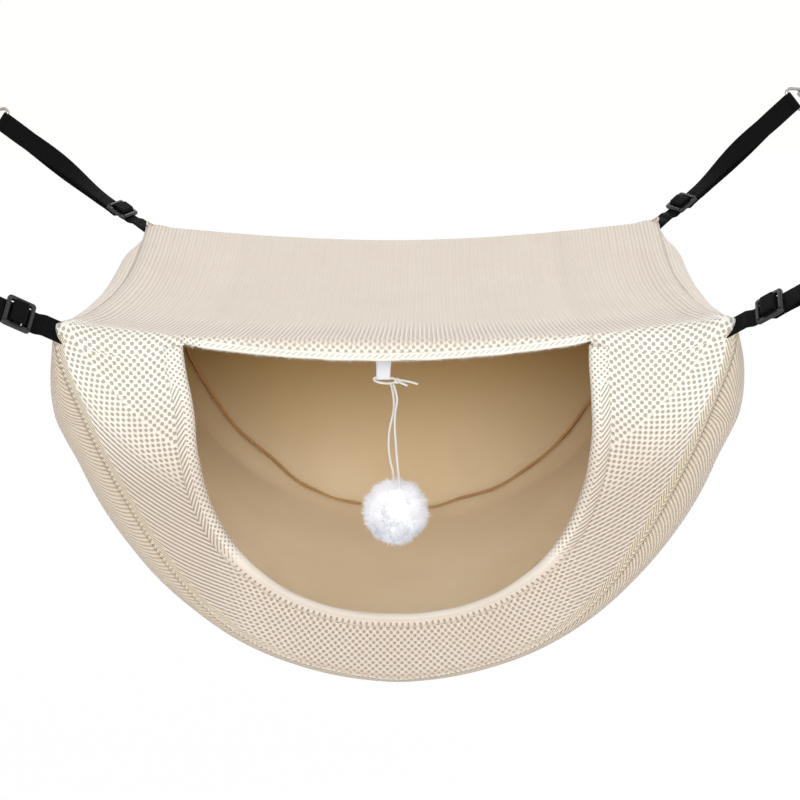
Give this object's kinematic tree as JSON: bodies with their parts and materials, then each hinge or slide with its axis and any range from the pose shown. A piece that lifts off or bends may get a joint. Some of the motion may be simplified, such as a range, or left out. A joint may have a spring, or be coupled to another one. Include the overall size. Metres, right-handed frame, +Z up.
{
  "type": "cage cat hammock",
  "caption": "Padded mesh hammock pouch with an arched door, a hanging toy, adjustable corner straps and swivel snap hooks.",
  "frame": {"origin": "middle of the four sewn corners, where the pouch hangs", "axes": "+X to the right along the long side, +Y to the back, +Z up"},
  "size_m": [0.6896, 0.4384, 0.3601],
  "materials": {
    "mesh": "cream spacer mesh",
    "mesh_binding": "folded mesh binding",
    "lining": "plain tan cloth",
    "seam_thread": "orange-brown seam",
    "ribbon": "white ribbon",
    "toy_cord": "limp white cord",
    "fur": "white fur",
    "webbing": "black woven webbing",
    "glide_plastic": "satin black",
    "hook_metal": "nickel plate",
    "spring_steel": "bright strip"
  },
  "bodies": {
    "pouch": {"top_panel": "mesh", "front_panel": "mesh", "back_panel": "mesh", "bottom_gusset": "mesh", "top_lining": "lining", "front_lining": "lining", "back_lining": "lining", "gusset_lining": "lining", "opening_hem": "mesh_binding", "lip_hem": "mesh_binding", "seam_tape": "seam_thread", "ribbon_tab": "ribbon", "front_left_sewn_tab": "webbing", "front_right_sewn_tab": "webbing", "back_left_sewn_tab": "webbing", "back_right_sewn_tab": "webbing"},
    "toy_loop": {"cord_knot": "toy_cord"},
    "toy": {"toy_cord": "toy_cord", "pompom": "fur"},
    "front_left_strap": {"front_left_tail_webbing": "webbing"},
    "front_left_glide": {"front_left_tri_glide": "glide_plastic", "front_left_loop_webbing": "webbing"},
    "front_left_loop": {"front_left_webbing_bight": "webbing"},
    "front_left_eye": {"front_left_hook_eye": "hook_metal"},
    "front_left_hook": {"front_left_snap_hook": "hook_metal", "front_left_gate_pin": "hook_metal", "front_left_gate_spring": "spring_steel"},
    "front_left_gate_arm": {"front_left_gate": "hook_metal"},
    "front_right_strap": {"front_right_tail_webbing": "webbing"},
    "front_right_glide": {"front_right_tri_glide": "glide_plastic", "front_right_loop_webbing": "webbing"},
    "front_right_loop": {"front_right_webbing_bight": "webbing"},
    "front_right_eye": {"front_right_hook_eye": "hook_metal"},
    "front_right_hook": {"front_right_snap_hook": "hook_metal", "front_right_gate_pin": "hook_metal", "front_right_gate_spring": "spring_steel"},
    "front_right_gate_arm": {"front_right_gate": "hook_metal"},
    "back_left_strap": {"back_left_tail_webbing": "webbing"},
    "back_left_glide": {"back_left_tri_glide": "glide_plastic", "back_left_loop_webbing": "webbing"},
    "back_left_loop": {"back_left_webbing_bight": "webbing"},
    "back_left_eye": {"back_left_hook_eye": "hook_metal"},
    "back_left_hook": {"back_left_snap_hook": "hook_metal", "back_left_gate_pin": "hook_metal", "back_left_gate_spring": "spring_steel"},
    "back_left_gate_arm": {"back_left_gate": "hook_metal"},
    "back_right_strap": {"back_right_tail_webbing": "webbing"},
    "back_right_glide": {"back_right_tri_glide": "glide_plastic", "back_right_loop_webbing": "webbing"},
    "back_right_loop": {"back_right_webbing_bight": "webbing"},
    "back_right_eye": {"back_right_hook_eye": "hook_metal"},
    "back_right_hook": {"back_right_snap_hook": "hook_metal", "back_right_gate_pin": "hook_metal", "back_right_gate_spring": "spring_steel"},
    "back_right_gate_arm": {"back_right_gate": "hook_metal"}
  },
  "joints": [
    {"name": "toy_swing", "type": "hinge", "parent": "pouch", "child": "toy_loop", "pos_m": [-0.006, -0.143, -0.0345], "axis": [1, 0, 0], "range_deg": [-50, 50]},
    {"name": "toy_sway", "type": "hinge", "parent": "toy_loop", "child": "toy", "pos_m": [0.0014, -0.143, -0.0362], "axis": [0, 1, 0], "range_deg": [-15, 15]},
    {"name": "front_left_strap_swing", "type": "hinge", "parent": "pouch", "child": "front_left_strap", "pos_m": [-0.20477, -0.15193, 0.00134], "axis": [0.0728, 0.792, 0.6061], "range_deg": [-30, 30]},
    {"name": "front_left_glide_slide", "type": "slide", "parent": "front_left_strap", "child": "front_left_glide", "axis": [-0.7948, -0.3211, 0.515], "range_m": [-0.006, 0.16], "deforming": ["front_left_tail_webbing"]},
    {"name": "front_left_loop_slide", "type": "slide", "parent": "front_left_glide", "child": "front_left_loop", "axis": [-0.7948, -0.3211, 0.515], "range_m": [-0.08, 0.003], "deforming": ["front_left_loop_webbing"]},
    {"name": "front_left_eye_tilt", "type": "hinge", "parent": "front_left_loop", "child": "front_left_eye", "pos_m": [-0.31921, -0.19817, 0.07551], "axis": [0.3206, 0.4984, 0.8055], "range_deg": [-70, 70]},
    {"name": "front_left_swivel", "type": "hinge", "parent": "front_left_eye", "child": "front_left_hook", "pos_m": [-0.31921, -0.19817, 0.07551], "axis": [-0.7948, -0.3211, 0.515], "continuous": true},
    {"name": "front_left_gate_turn", "type": "hinge", "parent": "front_left_hook", "child": "front_left_gate_arm", "pos_m": [-0.33338, -0.20264, 0.08813], "axis": [0.5153, -0.8053, 0.2932], "range_deg": [0, 28], "stiffness_Nm_per_rad": 0.02, "deforming": ["front_left_gate_spring"]},
    {"name": "front_right_strap_swing", "type": "hinge", "parent": "pouch", "child": "front_right_strap", "pos_m": [0.20442, -0.15215, 0.00169], "axis": [-0.1219, -0.9041, -0.4096], "range_deg": [-30, 30]},
    {"name": "front_right_glide_slide", "type": "slide", "parent": "front_right_strap", "child": "front_right_glide", "axis": [0.7362, -0.3591, 0.5736], "range_m": [-0.006, 0.16], "deforming": ["front_right_tail_webbing"]},
    {"name": "front_right_loop_slide", "type": "slide", "parent": "front_right_glide", "child": "front_right_loop", "axis": [0.7362, -0.3591, 0.5736], "range_m": [-0.08, 0.003], "deforming": ["front_right_loop_webbing"]},
    {"name": "front_right_eye_tilt", "type": "hinge", "parent": "front_right_loop", "child": "front_right_eye", "pos_m": [0.31044, -0.20386, 0.08429], "axis": [0.3345, -0.5437, -0.7698], "range_deg": [-70, 70]},
    {"name": "front_right_swivel", "type": "hinge", "parent": "front_right_eye", "child": "front_right_hook", "pos_m": [0.31044, -0.20386, 0.08429], "axis": [0.7362, -0.3591, 0.5736], "continuous": true},
    {"name": "front_right_gate_turn", "type": "hinge", "parent": "front_right_hook", "child": "front_right_gate_arm", "pos_m": [0.32571, -0.21261, 0.09268], "axis": [-0.5883, -0.7586, 0.2802], "range_deg": [0, 28], "stiffness_Nm_per_rad": 0.02, "deforming": ["front_right_gate_spring"]},
    {"name": "back_left_strap_swing", "type": "hinge", "parent": "pouch", "child": "back_left_strap", "pos_m": [-0.20477, 0.15193, 0.00134], "axis": [0.391, 0.9199, 0.0299], "range_deg": [-30, 30]},
    {"name": "back_left_glide_slide", "type": "slide", "parent": "back_left_strap", "child": "back_left_glide", "axis": [-0.7948, 0.3211, 0.515], "range_m": [-0.006, 0.16], "deforming": ["back_left_tail_webbing"]},
    {"name": "back_left_loop_slide", "type": "slide", "parent": "back_left_glide", "child": "back_left_loop", "axis": [-0.7948, 0.3211, 0.515], "range_m": [-0.08, 0.003], "deforming": ["back_left_loop_webbing"]},
    {"name": "back_left_eye_tilt", "type": "hinge", "parent": "back_left_loop", "child": "back_left_eye", "pos_m": [-0.31921, 0.19817, 0.07551], "axis": [0.5769, 0.1358, 0.8055], "range_deg": [-70, 70]},
    {"name": "back_left_swivel", "type": "hinge", "parent": "back_left_eye", "child": "back_left_hook", "pos_m": [-0.31921, 0.19817, 0.07551], "axis": [-0.7948, 0.3211, 0.515], "continuous": true},
    {"name": "back_left_gate_turn", "type": "hinge", "parent": "back_left_hook", "child": "back_left_gate_arm", "pos_m": [-0.33251, 0.20479, 0.08813], "axis": [-0.1887, -0.9373, 0.2932], "range_deg": [0, 28], "stiffness_Nm_per_rad": 0.02, "deforming": ["back_left_gate_spring"]},
    {"name": "back_right_strap_swing", "type": "hinge", "parent": "pouch", "child": "back_right_strap", "pos_m": [0.20442, 0.15215, 0.00169], "axis": [0.4561, -0.8895, -0.0286], "range_deg": [-30, 30]},
    {"name": "back_right_glide_slide", "type": "slide", "parent": "back_right_strap", "child": "back_right_glide", "axis": [0.7362, 0.3591, 0.5736], "range_m": [-0.006, 0.16], "deforming": ["back_right_tail_webbing"]},
    {"name": "back_right_loop_slide", "type": "slide", "parent": "back_right_glide", "child": "back_right_loop", "axis": [0.7362, 0.3591, 0.5736], "range_m": [-0.08, 0.003], "deforming": ["back_right_loop_webbing"]},
    {"name": "back_right_eye_tilt", "type": "hinge", "parent": "back_right_loop", "child": "back_right_eye", "pos_m": [0.31044, 0.20386, 0.08429], "axis": [0.6344, -0.0711, -0.7698], "range_deg": [-70, 70]},
    {"name": "back_right_swivel", "type": "hinge", "parent": "back_right_eye", "child": "back_right_hook", "pos_m": [0.31044, 0.20386, 0.08429], "axis": [0.7362, 0.3591, 0.5736], "continuous": true},
    {"name": "back_right_gate_turn", "type": "hinge", "parent": "back_right_hook", "child": "back_right_gate_arm", "pos_m": [0.32673, 0.21052, 0.09268], "axis": [0.2356, -0.9306, 0.2802], "range_deg": [0, 28], "stiffness_Nm_per_rad": 0.02, "deforming": ["back_right_gate_spring"]}
  ],
  "couplings": [
    {"joint": "front_left_loop_slide", "follows": "front_left_glide_slide", "ratio": -0.5},
    {"joint": "front_right_loop_slide", "follows": "front_right_glide_slide", "ratio": -0.5},
    {"joint": "back_left_loop_slide", "follows": "back_left_glide_slide", "ratio": -0.5},
    {"joint": "back_right_loop_slide", "follows": "back_right_glide_slide", "ratio": -0.5}
  ]
}
